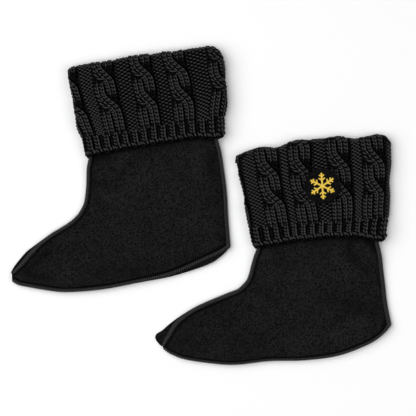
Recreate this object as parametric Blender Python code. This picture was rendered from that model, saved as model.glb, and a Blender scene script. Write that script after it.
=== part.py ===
# Pair of boot liners lying flat: two fleece booties, each with a folded-down cable-knit cuff.
# Metres, +Z up. Both lie on the plane Z = 0 with the toes towards -X and the cuffs towards +Y.
# Each liner is modelled in its own frame (x from front to back along the cuff's hem, y up the leg,
# in millimetres) and placed by an empty.

import math

import bmesh
import bpy

MM = 0.001

# Cloth
GAP = 0.3                  # clearance between neighbouring pieces
FLEECE = 2.2               # thickness of the fleece
LIP = 2.0                  # thickness of one panel in the overlocked edge
GROOVE = 1.3               # thickness left in the groove beside the overlocked edge
SOLE_FOLD = 2.6            # the sole, folded in half and pressed between the side panels
SOLE_DEPTH = 28.0          # how far the folded sole reaches in from its edge
SOLE_FADE = 12.0           # distance over which the near panel drops off the sole's inner edge
CROWN = 1.2                # how far the near panel rises towards its middle

# Knit
KNIT_FAR = 4.5             # the cuff's wall under the leg
KNIT_NEAR = 3.2            # the cuff's wall over the leg, between the cables
KNIT_CROWN = 1.0           # extra thickness in the middle of the near wall
SIDE_WALL = 3.0            # the wall at the cuff's side folds
SIDE_BEND = 5.5            # width of the rounded side folds
TURN_IN = 0.79             # share of the cuff's height where its turned-in edge meets the fleece
MOUTH = 1.3                # slit between the turned-in edges
CABLE_RISE = 3.2
CABLE_REACH = 6.3          # half the width of one strand, and its distance from the cable's middle
CABLE_BULGE = 1.6          # how far the right strand swings out between two crossings
CROSSING_STEP = 33.3       # length of cable from one crossing to the next
CROSSING_AT = 53.7         # height above the hem of one crossing
CROSSING_PART = 0.32       # share of the step in which the upper strand comes over from the middle
DIVE_PART = 0.16           # share of the step in which the lower strand goes in under the other one
RIB_TOP = 19.0             # height of the ribbed hem
RIB_RISE = 2.0
RIB_REACH = 3.7            # half the width of one rib
RIB_SHIFT = 0.075          # how far the ribs lie to the left of an even place, in pitches
RIBS_PER_REPEAT = 4
COLUMNS_PER_REPEAT = 12
EDGE_COLUMNS = 4           # columns round each side fold
FAR_COLUMNS = 7
CAVITY = KNIT_FAR + 5.4    # height of the near wall's inner face

PATCH_RADIUS = 20.0
PATCH_THICK = 1.6
PATCH_ROUND = 0.4          # how far its edge is rounded off
PATCH_SEAT = 1.0           # relief that is left in the knit under the patch
PATCH_FADE = 5.0           # width of the ring where the relief comes back

# Distances in from a panel's edge where its columns lie, and the panel's thickness there
EDGE_INSETS = (0.0, 1.2, 3.5, 4.8, 8.0, 18.0, 28.0, 41.0, 56.0)
EDGE_THICK = (1.4, LIP, LIP, GROOVE) + (FLEECE,) * 5
FAR_INSETS = (0.0, 1.2, 41.0)
EDGE_ROUND = 0.6           # how far the underside is lifted at the outermost column
FULL_WIDTH = 120.0         # rows shorter than this have their columns drawn together

# Side panels. A row for each section from the leg's top to the toe: its front and back ends, the
# height that the cuff under it lifts it by, how far the far panel shows past the near one at the
# front, and how far the folded sole shows past the near panel. In the rows under the cuff the
# second and fourth columns are a share of the cuff's height.
HIDDEN_ROWS = 3
PLAIN_ROWS = (
    # front_x, front_y, back_x, back_y, lift, toe_lap, sole_lap
    (-77.5, 0.765, 75.5, 0.765, 4.8, 0.0, 0.0),
    (-77.0, 0.400, 73.0, 0.400, 4.8, 0.0, 0.0),
    (-74.0, 0.030, 70.4, 0.030, 4.8, 0.0, 0.0),
    (-76.4, -4.0, 69.8, -5.5, 4.7, 0.0, 0.0),
    (-80.1, -14.5, 71.2, -19.2, 2.4, 0.0, 0.0),
    (-82.6, -27.7, 71.1, -43.0, 0.5, 0.0, 0.0),
    (-85.4, -39.8, 70.1, -66.7, 0.0, 0.0, 0.0),
    (-89.5, -52.2, 67.4, -93.5, 0.0, 0.0, 0.0),
    (-96.1, -61.4, 64.8, -125.9, 0.0, 0.0, 0.0),
    (-100.5, -65.1, 52.8, -130.6, 0.0, 0.0, 5.0),
    (-107.9, -70.0, 34.9, -135.8, 0.0, 0.0, 6.2),
    (-119.6, -75.2, -6.4, -146.2, 0.0, 0.0, 2.2),
    (-130.5, -79.6, -46.8, -149.9, 0.0, 0.0, 0.3),
    (-145.4, -87.1, -85.6, -150.2, 0.0, 0.4, 0.0),
    (-153.3, -91.8, -124.8, -146.9, 0.0, 1.0, 0.0),
    (-160.4, -96.8, -149.8, -140.1, 0.0, 1.9, 0.0),
    (-168.6, -105.0, -165.9, -134.5, 0.0, 3.0, 0.0),
    (-175.8, -111.9, -176.0, -130.6, 0.0, 1.8, 0.0),
    (-180.8, -117.2, -181.6, -126.0, 0.0, 0.8, 0.0),
)
PATCHED_ROWS = (
    # front_x, front_y, back_x, back_y, lift, toe_lap, sole_lap
    (-75.5, 0.765, 72.0, 0.765, 4.8, 0.0, 0.0),
    (-73.5, 0.400, 69.5, 0.400, 4.8, 0.0, 0.0),
    (-69.0, 0.030, 65.6, 0.030, 4.8, 0.0, 0.0),
    (-71.6, -3.5, 65.0, -6.0, 4.7, 0.0, 0.0),
    (-75.0, -10.9, 67.3, -22.2, 2.6, 0.0, 0.0),
    (-78.6, -20.6, 67.8, -37.9, 0.8, 0.0, 0.0),
    (-81.6, -29.5, 68.6, -53.7, 0.0, 0.0, 0.0),
    (-85.5, -37.6, 69.2, -74.0, 0.0, 0.0, 0.0),
    (-92.8, -44.4, 72.1, -99.7, 0.0, 0.0, 0.0),
    (-97.5, -47.2, 62.2, -109.4, 0.0, 0.0, 0.5),
    (-106.1, -49.7, 45.0, -119.0, 0.0, 0.0, 0.8),
    (-121.1, -54.5, 10.8, -129.0, 0.0, 0.0, 0.8),
    (-135.6, -59.3, -28.4, -131.5, 0.0, 0.0, 0.3),
    (-147.7, -64.2, -67.5, -129.4, 0.0, 0.0, 0.0),
    (-158.0, -70.1, -106.3, -130.5, 0.0, 1.0, 0.0),
    (-167.9, -77.2, -137.2, -125.8, 0.0, 2.2, 0.0),
    (-173.5, -83.5, -162.2, -119.2, 0.0, 4.6, 0.0),
    (-178.4, -91.0, -174.7, -113.8, 0.0, 8.0, 0.0),
    (-182.0, -97.2, -181.2, -110.0, 0.0, 11.4, 1.5),
    (-184.4, -101.2, -184.0, -108.0, 0.0, 9.6, 1.5),
)
HEEL_ROW = 8               # the section that ends at the heel's corner
SOLE_STEPS = 6             # stretches past the heel that take one more section in their middle

# Soft folds in the near panels, below the cuff: each a low ridge from one end to the other
PLAIN_FOLDS = (
    # from_x, from_y, to_x, to_y, half_width, rise
    (-54.0, -7.0, -66.0, -23.0, 8.0, 1.3),
    (-31.0, -9.0, -56.0, -36.0, 9.0, 1.1),
    (22.0, -12.0, 12.0, -40.0, 11.0, 0.6),
)
PATCHED_FOLDS = (
    # from_x, from_y, to_x, to_y, half_width, rise
    (26.0, -5.0, 29.0, -27.0, 7.0, 1.4),
    (43.5, -6.0, 47.0, -31.0, 6.0, 1.7),
    (60.0, -6.0, 61.0, -21.0, 4.5, 1.1),
)

# Cuff outlines: (height, x) down each side, and (x, height) along the hem and the top fold
PLAIN_CUFF = {
    "left": ((-2, -78.9), (5, -79.2), (18, -79.9), (33, -83.3), (60, -83.8), (80, -83.9), (104, -84.0)),
    "right": ((-4, 78.0), (8, 79.9), (20, 81.8), (32, 85.9), (50, 88.0), (78, 90.0), (104, 87.5)),
    "hem": ((-79, 0.6), (-50, 2.2), (0, 2.5), (50, 2.2), (80, -2.4)),
    "top": ((-84, 98.0), (-66, 101.8), (-40, 101.0), (-20, 102.6), (10, 101.2),
            (27, 101.0), (38, 98.8), (49, 100.3), (72, 99.8), (88, 93.5)),
    "cables": (-79.0, -44.5, -3.0, 36.5, 80.0),
    "cable_level": 54.0,
}
PATCHED_CUFF = {
    "left": ((-2, -74.1), (6, -76.2), (18, -77.9), (40, -80.2), (65, -82.0), (85, -85.6), (108, -87.8)),
    "right": ((-4, 73.8), (10, 75.9), (24, 80.2), (45, 82.9), (62, 83.6), (80, 87.3), (112, 88.8)),
    "hem": ((-75, 0.0), (-40, 3.4), (0, 5.0), (40, 3.6), (76, -3.2)),
    "top": ((-88, 101.0), (-70, 108.6), (-56, 109.5), (-41, 108.2), (-30, 112.0), (-16, 114.2),
            (10, 114.5), (35, 114.4), (47, 111.4), (72, 113.0), (88, 102.5)),
    "cables": (-92.0, -54.0, -20.5, 24.5, 60.0, 97.0),
    "cable_level": 54.0,
}
PATCH_AT = (7.0, 61.2)

# Where the two liners lie (mm), and how far each is turned (degrees)
PLAIN_AT = (-51.8, 68.1)
PLAIN_TURN = 9.0
PATCHED_AT = (132.5, -39.5)
PATCHED_TURN = 4.5


def smooth_step(t):
    t = min(1.0, max(0.0, t))
    return t * t * (3.0 - 2.0 * t)


def curve_at(points, t):
    """Value of a table of equal-length tuples at row t, on a smooth curve through its rows."""
    last = len(points) - 1
    i = min(int(t), last - 1)
    f = t - i
    p0 = points[max(i - 1, 0)]
    p1 = points[i]
    p2 = points[i + 1]
    p3 = points[min(i + 2, last)]
    values = []
    for a, b, c, d in zip(p0, p1, p2, p3):
        values.append(b + 0.5 * f * (c - a + f * (2 * a - 5 * b + 4 * c - d + f * (3 * (b - c) + d - a))))
    return values


def along(points, x):
    """Smooth height over x through a short table of (x, height) points."""
    last = len(points) - 1
    x = min(points[-1][0], max(points[0][0], x))
    i = 0
    while i < last - 1 and x > points[i + 1][0]:
        i += 1
    f = (x - points[i][0]) / (points[i + 1][0] - points[i][0])
    return curve_at([(p[1],) for p in points], i + f)[0]


# --- Knit cuff ---------------------------------------------------------------------------------

def cuff_point(cuff, u, v):
    """Plan position on the cuff: u from its left fold to its right, v from the hem to the top."""
    y = 100.0 * v
    for _ in range(3):
        left = along(cuff["left"], y)
        right = along(cuff["right"], y)
        x = left + (right - left) * u
        hem = along(cuff["hem"], x)
        y = hem + (along(cuff["top"], x) - hem) * v
    return x, y


def cuff_share(cuff, x, v):
    """The u that brings cuff_point to the given x at height v."""
    u = 0.5
    for _ in range(4):
        at = cuff_point(cuff, u, v)[0]
        left = along(cuff["left"], 100.0 * v)
        right = along(cuff["right"], 100.0 * v)
        u += (x - at) / (right - left)
    return u


def cable_shares(cuff):
    """The u of each cable's middle."""
    left = along(cuff["left"], cuff["cable_level"])
    right = along(cuff["right"], cuff["cable_level"])
    return [(x - left) / (right - left) for x in cuff["cables"]]


def cuff_columns(cuff):
    """Each near-side column's u, with its place in the knit repeat as a share of one pitch."""
    middles = cable_shares(cuff)
    width = cuff_point(cuff, 1.0, 0.5)[0] - cuff_point(cuff, 0.0, 0.5)[0]
    low = SIDE_BEND / width
    high = 1.0 - low
    columns = [(low, middles[0], middles[1])]
    for first, second in zip(middles[:-1], middles[1:]):
        for step in range(COLUMNS_PER_REPEAT):
            u = first + (second - first) * step / COLUMNS_PER_REPEAT
            if low + 0.012 < u < high - 0.012:
                columns.append((u, first, second))
    columns.append((high, middles[-2], middles[-1]))
    return columns


def strand(step, side):
    """A strand's distance from the cable's middle and its rise, step from one crossing to the next."""
    share = step if side > 0 else 1.0 - step    # how far it has risen to the next crossing over
    swing = part_sine((1.0 - share) / CROSSING_PART) * part_sine(share / DIVE_PART)
    offset = side * CABLE_REACH * swing
    if side > 0:
        offset += CABLE_BULGE * math.sin(math.pi * step) * swing
    rise = CABLE_RISE * (0.10 + 0.90 * smooth_step(share * 1.6))
    return offset, rise


def part_sine(t):
    """0 to 1 along a quarter of a sine wave, and 1 beyond it."""
    return math.sin(0.5 * math.pi * min(1.0, t))


def cable_relief(across, height):
    """Rise of the rope cable above the ground, across in mm from its middle."""
    turns = (height - CROSSING_AT) / CROSSING_STEP
    step = turns - math.floor(turns)
    best = 0.0
    for side in (-1, 1):
        offset, rise = strand(step, side)
        reach = (across - offset) / CABLE_REACH
        if abs(reach) < 1.0:
            best = max(best, rise * math.sqrt(1.0 - reach * reach))
    return best


def rib_relief(share):
    """Rise of the ribbed hem, share in pitches from the cable's middle."""
    place = ((share + RIB_SHIFT) * RIBS_PER_REPEAT + 0.5) % 1.0 - 0.5
    rib_pitch = 41.0 / RIBS_PER_REPEAT
    reach = (abs(place) - 0.5) * rib_pitch / RIB_REACH
    if abs(reach) >= 1.0:
        return 0.0
    return RIB_RISE * math.sqrt(1.0 - reach * reach)


def knit_relief(cuff, u, first, second, height):
    """Rise of the knit above its ground at a column, from the cables on either side."""
    pitch = second - first
    width = cuff_point(cuff, 1.0, 0.5)[0] - cuff_point(cuff, 0.0, 0.5)[0]
    share = (u - first) / pitch
    cable = max(cable_relief((u - first) * width, height), cable_relief((u - second) * width, height))
    rib = rib_relief(share)
    blend = smooth_step((height - RIB_TOP + 3.0) / 6.0)
    return rib + (cable - rib) * blend


def patch_mask(place, x, y):
    """1 under the patch, falling to 0 outside it."""
    if place is None:
        return 0.0
    distance = math.hypot(x - place[0], y - place[1])
    return 1.0 - smooth_step((distance - PATCH_RADIUS - 1.0) / PATCH_FADE)


def near_top(cuff, u):
    """Height of the near wall's ground at u."""
    return CAVITY + KNIT_NEAR + KNIT_CROWN * math.sin(math.pi * u)


def cuff_rows():
    """Rows of the cuff's wall from the hem over the top fold and down its turned-in inside.

    Each is (share of the height, inset at the side folds, underside, top, share of the relief, drop),
    where the top is None for the near wall's own outer height, less the drop.
    """
    rows = [(0.0, 0.5, 0.5, None, 0.55, 1.0), (0.022, 0.0, 0.0, None, 1.0, 0.0)]
    rows += [(0.085, 0.0, 0.0, None, 1.0, 0.0), (0.155, 0.0, 0.0, None, 1.0, 0.0)]
    steps = 19
    for i in range(steps):
        rows.append((0.195 + (0.955 - 0.195) * i / (steps - 1), 0.0, 0.0, None, 1.0, 0.0))
    rows.append((0.985, 1.0, 0.9, None, 0.8, 1.2))
    middle = 0.5 * (KNIT_FAR + CAVITY)
    rows.append((1.0, 3.2, 3.2, middle + 3.4, 0.0, 0.0))
    rows.append((0.982, 5.0, middle - MOUTH / 2, middle + MOUTH / 2, 0.0, 0.0))
    rows.append((TURN_IN + 0.008, 5.0, middle - MOUTH / 2, middle + MOUTH / 2, 0.0, 0.0))
    rows.append((TURN_IN, SIDE_WALL, KNIT_FAR, CAVITY, 0.0, 0.0))
    rows.append((0.35, SIDE_WALL, KNIT_FAR, CAVITY, 0.0, 0.0))
    rows.append((0.004, SIDE_WALL - 0.9, KNIT_FAR - 0.3, CAVITY + 0.3, 0.0, 0.0))
    return rows


def cuff_ring(cuff, columns, row, patch):
    """Points of one row round the cuff, from the near side's left over to the right and back under."""
    v, inset, under, top, relief_share, drop = row
    bend = SIDE_BEND - inset
    low = columns[0][0]
    high = columns[-1][0]
    points = []
    heights = []
    for u, first, second in columns:
        x, y = cuff_point(cuff, u, v)
        z = near_top(cuff, u) - drop if top is None else top
        if relief_share:
            rise = knit_relief(cuff, u, first, second, y)
            rise += (min(rise, PATCH_SEAT) - rise) * patch_mask(patch, x, y)
            z += rise * relief_share
        points.append((x, y, z))
        heights.append(z)
    for side, u, end in ((1, high, heights[-1]), (-1, low, heights[0])):
        turn = []
        for k in range(1, EDGE_COLUMNS + 1):
            angle = math.pi * (0.5 - k / (EDGE_COLUMNS + 1))
            x, y = cuff_point(cuff, u, v)
            half = 0.5 * (end - under)
            turn.append((x + side * bend * math.cos(angle), y, under + half * (1.0 + math.sin(angle))))
        if side > 0:
            points += turn
            for k in range(FAR_COLUMNS + 1):
                x, y = cuff_point(cuff, high + (low - high) * k / FAR_COLUMNS, v)
                points.append((x, y, under))
        else:
            points += reversed(turn)
    return points


def make_cuff(name, cuff, patch, place, material):
    columns = cuff_columns(cuff)
    rings = [cuff_ring(cuff, columns, row, patch) for row in cuff_rows()]
    mesh = bmesh.new()
    verts = [[mesh.verts.new(tuple(c * MM for c in point)) for point in ring] for ring in rings]
    for r in range(len(rings)):
        lower = verts[r]
        upper = verts[(r + 1) % len(rings)]
        for c in range(len(lower)):
            d = (c + 1) % len(lower)
            mesh.faces.new((lower[c], lower[d], upper[d]))
            mesh.faces.new((lower[c], upper[d], upper[c]))
    return finish(name, mesh, place, material)


# --- Fleece panels -----------------------------------------------------------------------------

def section(cuff, rows, t):
    """Front end, back end, lift, toe lap and sole lap of the section at table row t."""
    if t < HIDDEN_ROWS - 1:
        front_x, front_v, back_x, back_v, lift, toe_lap, sole_lap = curve_at(rows[:HIDDEN_ROWS], t)
        front = cuff_point(cuff, cuff_share(cuff, front_x, front_v), front_v)
        back = cuff_point(cuff, cuff_share(cuff, back_x, back_v), back_v)
        return front, back, lift, toe_lap, sole_lap
    table = [hidden_end(cuff, rows)] + list(rows[HIDDEN_ROWS:])
    t -= HIDDEN_ROWS - 1
    heel = HEEL_ROW - HIDDEN_ROWS + 1
    if t <= heel:
        values = curve_at(table[:heel + 1], t)
    else:
        values = curve_at(table[heel:], t - heel)
        values[0:2] = curve_at(table, t)[0:2]
    lift = max(0.0, values[4])
    return tuple(values[0:2]), tuple(values[2:4]), lift, max(0.0, values[5]), max(0.0, values[6])


def hidden_end(cuff, rows):
    """The last row under the cuff, in plan."""
    front_x, front_v, back_x, back_v = rows[HIDDEN_ROWS - 1][:4]
    front = cuff_point(cuff, cuff_share(cuff, front_x, front_v), front_v)
    back = cuff_point(cuff, cuff_share(cuff, back_x, back_v), back_v)
    return front + back + rows[HIDDEN_ROWS - 1][4:]


def row_places(rows):
    """Table rows of the sections, with one more between two rows along the sole."""
    places = [float(row) for row in range(len(rows))]
    places += [HEEL_ROW + 1.5 + step for step in range(SOLE_STEPS)]
    return sorted(places)


def sole_thickness(rows, t):
    """Thickness of the folded sole at table row t, 0 where there is none."""
    heel = smooth_step((t - HEEL_ROW + 0.75) / 1.6)
    toe = smooth_step((len(rows) - 1.2 - t) / 2.2)
    return SOLE_FOLD * heel * toe


def shares_across(front, back, insets=EDGE_INSETS):
    """Columns of a section: (share of its length, thickness, inset from the back end, edge or not)."""
    length = math.dist(front, back)
    tight = min(1.0, length / FULL_WIDTH)
    columns = []
    for inset in insets:
        thick = EDGE_THICK[EDGE_INSETS.index(inset)]
        columns.append((inset * tight / length, thick, length - inset * tight, inset == 0.0))
    columns.append((0.5, FLEECE, length / 2, False))
    for inset in reversed(insets):
        thick = EDGE_THICK[EDGE_INSETS.index(inset)]
        columns.append((1.0 - inset * tight / length, thick, inset * tight, inset == 0.0))
    return columns, tight


def fold_under(sole, inset, tight):
    """How much of the sole's thickness lies under the near panel at this inset from its edge."""
    return sole * (1.0 - smooth_step((inset / tight - SOLE_DEPTH) / SOLE_FADE))


def plan(cuff, rows, front, back, share, t):
    """Plan point of a section; under the cuff the section follows the cuff's own rows."""
    x = front[0] + (back[0] - front[0]) * share
    if t < HIDDEN_ROWS:
        v = rows[int(t)][1]
        return x, cuff_point(cuff, cuff_share(cuff, x, v), v)[1]
    return x, front[1] + (back[1] - front[1]) * share


def outward(rows, cuff, t, end):
    """Unit vector out of the panel at the front (0) or back (1) end of row t."""
    before = section(cuff, rows, max(t - 0.25, 0.0))[end]
    after = section(cuff, rows, min(t + 0.25, len(rows) - 1.0))[end]
    dx = after[0] - before[0]
    dy = after[1] - before[1]
    size = math.hypot(dx, dy) or 1.0
    turn = 1.0 if end == 0 else -1.0
    return turn * dy / size, -turn * dx / size


def fold_rise(folds, x, y):
    """How far the soft folds lift the cloth at a point."""
    rise = 0.0
    for from_x, from_y, to_x, to_y, half_width, height in folds:
        run_x = to_x - from_x
        run_y = to_y - from_y
        share = ((x - from_x) * run_x + (y - from_y) * run_y) / (run_x ** 2 + run_y ** 2)
        share = min(1.0, max(0.0, share))
        off = math.hypot(x - from_x - run_x * share, y - from_y - run_y * share)
        rise += height * math.exp(-(off / half_width) ** 2) * (1.0 - 0.5 * share)
    return rise


def near_side(cuff, rows, folds):
    """Top and underside of the panel that shows, as grids of points."""
    top = []
    under = []
    for t in row_places(rows):
        front, back, lift, _, _ = section(cuff, rows, t)
        columns, tight = shares_across(front, back)
        sole = sole_thickness(rows, t)
        shown = smooth_step((t - HIDDEN_ROWS + 0.5) / 2.5) * tight
        top_row = []
        under_row = []
        for share, thick, inset, edge in columns:
            x, y = plan(cuff, rows, front, back, share, t)
            fold = fold_under(sole, inset, tight)
            rest = lift + FLEECE + GAP + fold + (GAP if fold > 0.05 else fold)
            rest += CROWN * shown * math.sin(math.pi * share) ** 2
            rest += fold_rise(folds, x, y) * shown
            top_row.append((x, y, rest + thick))
            under_row.append((x, y, rest + (EDGE_ROUND if edge else 0.0)))
        top.append(top_row)
        under.append(under_row)
    return top, under


def far_side(cuff, rows):
    """Top and underside of the panel that lies on the ground."""
    top = []
    under = []
    for t in row_places(rows):
        front, back, lift, toe_lap, sole_lap = section(cuff, rows, t)
        columns, _ = shares_across(front, back, FAR_INSETS)
        front_out = outward(rows, cuff, t, 0)
        back_out = outward(rows, cuff, t, 1)
        top_row = []
        under_row = []
        for place, (share, _, _, edge) in enumerate(columns):
            x, y = plan(cuff, rows, front, back, share, t)
            if edge and place == 0:
                x += front_out[0] * toe_lap
                y += front_out[1] * toe_lap
            elif edge:
                x += back_out[0] * max(0.0, sole_lap - 1.5)
                y += back_out[1] * max(0.0, sole_lap - 1.5)
            top_row.append((x, y, lift + (FLEECE - EDGE_ROUND if edge else FLEECE)))
            under_row.append((x, y, lift + (EDGE_ROUND if edge else 0.0)))
        top.append(top_row)
        under.append(under_row)
    return top, under


def folded_sole(cuff, rows):
    """Top and underside of the sole, folded in half between the side panels."""
    top = []
    under = []
    for t in row_places(rows):
        sole = sole_thickness(rows, t)
        if t < HEEL_ROW or sole < 0.7:
            continue
        front, back, _, _, sole_lap = section(cuff, rows, t)
        columns, _ = shares_across(front, back)
        back_out = outward(rows, cuff, t, 1)
        shift = sole_lap - 0.8
        top_row = []
        under_row = []
        count = EDGE_INSETS.index(SOLE_DEPTH) + 1
        for share, _, _, edge in columns[-count:]:
            x, y = plan(cuff, rows, front, back, share, t)
            if edge:
                x += back_out[0] * shift
                y += back_out[1] * shift
            rise = FLEECE + GAP
            top_row.append((x, y, rise + sole * (0.72 if edge else 1.0)))
            under_row.append((x, y, rise + sole * (0.28 if edge else 0.0)))
        top.append(top_row)
        under.append(under_row)
    return top, under


def make_slab(name, grids, place, material):
    """Close a top grid and an underside grid into one wall."""
    mesh = bmesh.new()
    top, under = [[[mesh.verts.new(tuple(c * MM for c in p)) for p in row] for row in grid] for grid in grids]
    rows = len(top)
    columns = len(top[0])

    def face(a, b, c, d):
        mesh.faces.new((a, b, c))
        mesh.faces.new((a, c, d))

    for r in range(rows - 1):
        for c in range(columns - 1):
            face(top[r][c], top[r + 1][c], top[r + 1][c + 1], top[r][c + 1])
            mesh.faces.new((under[r][c], under[r + 1][c + 1], under[r + 1][c]))
            mesh.faces.new((under[r][c], under[r][c + 1], under[r + 1][c + 1]))
        for c, turn in ((0, 1), (columns - 1, -1)):
            wall = (top[r][c], under[r][c], under[r + 1][c], top[r + 1][c])
            face(*wall[::turn])
    for r, turn in ((0, -1), (rows - 1, 1)):
        for c in range(columns - 1):
            wall = (top[r][c], under[r][c], under[r][c + 1], top[r][c + 1])
            face(*wall[::turn])
    return finish(name, mesh, place, material)


# --- Patch -------------------------------------------------------------------------------------

def make_patch(name, cuff, centre, place, material):
    """Round felt patch sewn on the cuff, made from the knit's own height, moved out."""
    width = cuff_point(cuff, 1.0, 0.5)[0] - cuff_point(cuff, 0.0, 0.5)[0]
    seat = GAP + PATCH_SEAT
    mesh = bmesh.new()
    spokes = 28
    radii = (0.55, 0.93, 1.0)   # shares of the patch's radius
    lower = []
    upper = []
    for radius in radii:
        edge = radius == radii[-1]
        low_ring = []
        high_ring = []
        for k in range(spokes):
            angle = 2 * math.pi * k / spokes
            x = centre[0] + PATCH_RADIUS * radius * math.cos(angle)
            y = centre[1] + PATCH_RADIUS * radius * math.sin(angle)
            z = near_top(cuff, 0.5 + x / width) + seat
            round_off = PATCH_ROUND if edge else 0.0
            low_ring.append(mesh.verts.new((x * MM, y * MM, (z + round_off) * MM)))
            high_ring.append(mesh.verts.new((x * MM, y * MM, (z + PATCH_THICK - round_off) * MM)))
        lower.append(low_ring)
        upper.append(high_ring)
    mesh.faces.new(upper[0])
    mesh.faces.new(reversed(lower[0]))
    loops = lower + upper[::-1]
    for inner, outer in zip(loops[:-1], loops[1:]):
        for k in range(spokes):
            n = (k + 1) % spokes
            mesh.faces.new((inner[k], inner[n], outer[n], outer[k]))
    return finish(name, mesh, place, material)


# --- Scene -------------------------------------------------------------------------------------

def make_material(name, colour, roughness):
    material = bpy.data.materials.new(name)
    material.use_nodes = True
    shader = material.node_tree.nodes["Principled BSDF"]
    shader.inputs["Base Color"].default_value = (*colour, 1.0)
    shader.inputs["Roughness"].default_value = roughness
    shader.inputs["Metallic"].default_value = 0.0
    return material


def finish(name, mesh, place, material):
    """Turn a closed bmesh into a smooth-shaded object under its liner's empty."""
    bmesh.ops.recalc_face_normals(mesh, faces=mesh.faces)
    data = bpy.data.meshes.new(name)
    mesh.to_mesh(data)
    mesh.free()
    data.materials.append(material)
    data.shade_smooth()
    data.set_sharp_from_angle(angle=math.radians(50))
    piece = bpy.data.objects.new(name, data)
    bpy.context.collection.objects.link(piece)
    piece.parent = place
    return piece


def make_place(name, at, turn):
    place = bpy.data.objects.new(name, None)
    place.location = (at[0] * MM, at[1] * MM, 0.0)
    place.rotation_euler = (0.0, 0.0, math.radians(turn))
    bpy.context.collection.objects.link(place)
    return place


def make_liner(name, at, turn, rows, folds, cuff, patch, fleece, knit, felt):
    place = make_place(name + "_place", at, turn)
    make_slab(name + "_far_side", far_side(cuff, rows), place, fleece)
    make_slab(name + "_near_side", near_side(cuff, rows, folds), place, fleece)
    make_slab(name + "_sole", folded_sole(cuff, rows), place, fleece)
    make_cuff(name + "_cuff", cuff, patch, place, knit)
    if patch:
        make_patch(name + "_patch", cuff, patch, place, felt)


def main():
    for old in list(bpy.data.objects):
        bpy.data.objects.remove(old)
    fleece = make_material("black fleece", (0.012, 0.012, 0.013), 0.95)
    knit = make_material("black knit", (0.010, 0.010, 0.011), 0.75)
    felt = make_material("black felt with gold stitching", (0.16, 0.11, 0.02), 0.8)
    make_liner("plain_liner", PLAIN_AT, PLAIN_TURN, PLAIN_ROWS, PLAIN_FOLDS, PLAIN_CUFF, None,
               fleece, knit, felt)
    make_liner("patched_liner", PATCHED_AT, PATCHED_TURN, PATCHED_ROWS, PATCHED_FOLDS, PATCHED_CUFF,
               PATCH_AT, fleece, knit, felt)
    bpy.context.view_layer.update()


main()
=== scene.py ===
# Looks of the pair of boot liners: black fleece feet with overlocked seams, and folded-down cable-knit cuffs.
# Shapes are worked out in millimetres in each liner's own frame (x from front to back along the cuff's hem,
# y up the leg) and turned into place when the mesh is made.
import math
import bpy
import numpy as np
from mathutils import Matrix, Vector, noise


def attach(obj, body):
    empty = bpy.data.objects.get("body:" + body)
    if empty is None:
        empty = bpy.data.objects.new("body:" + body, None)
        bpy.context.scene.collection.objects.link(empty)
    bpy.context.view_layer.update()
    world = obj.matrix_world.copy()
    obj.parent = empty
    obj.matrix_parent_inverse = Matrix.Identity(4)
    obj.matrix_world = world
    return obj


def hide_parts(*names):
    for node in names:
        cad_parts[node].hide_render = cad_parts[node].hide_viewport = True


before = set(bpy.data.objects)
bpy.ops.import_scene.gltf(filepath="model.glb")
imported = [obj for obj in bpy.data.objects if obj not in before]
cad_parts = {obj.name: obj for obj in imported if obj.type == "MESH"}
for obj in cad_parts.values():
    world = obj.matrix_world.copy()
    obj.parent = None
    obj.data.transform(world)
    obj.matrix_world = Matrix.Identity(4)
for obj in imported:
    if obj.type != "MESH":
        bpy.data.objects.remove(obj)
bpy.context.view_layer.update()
mm = 0.001

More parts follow.
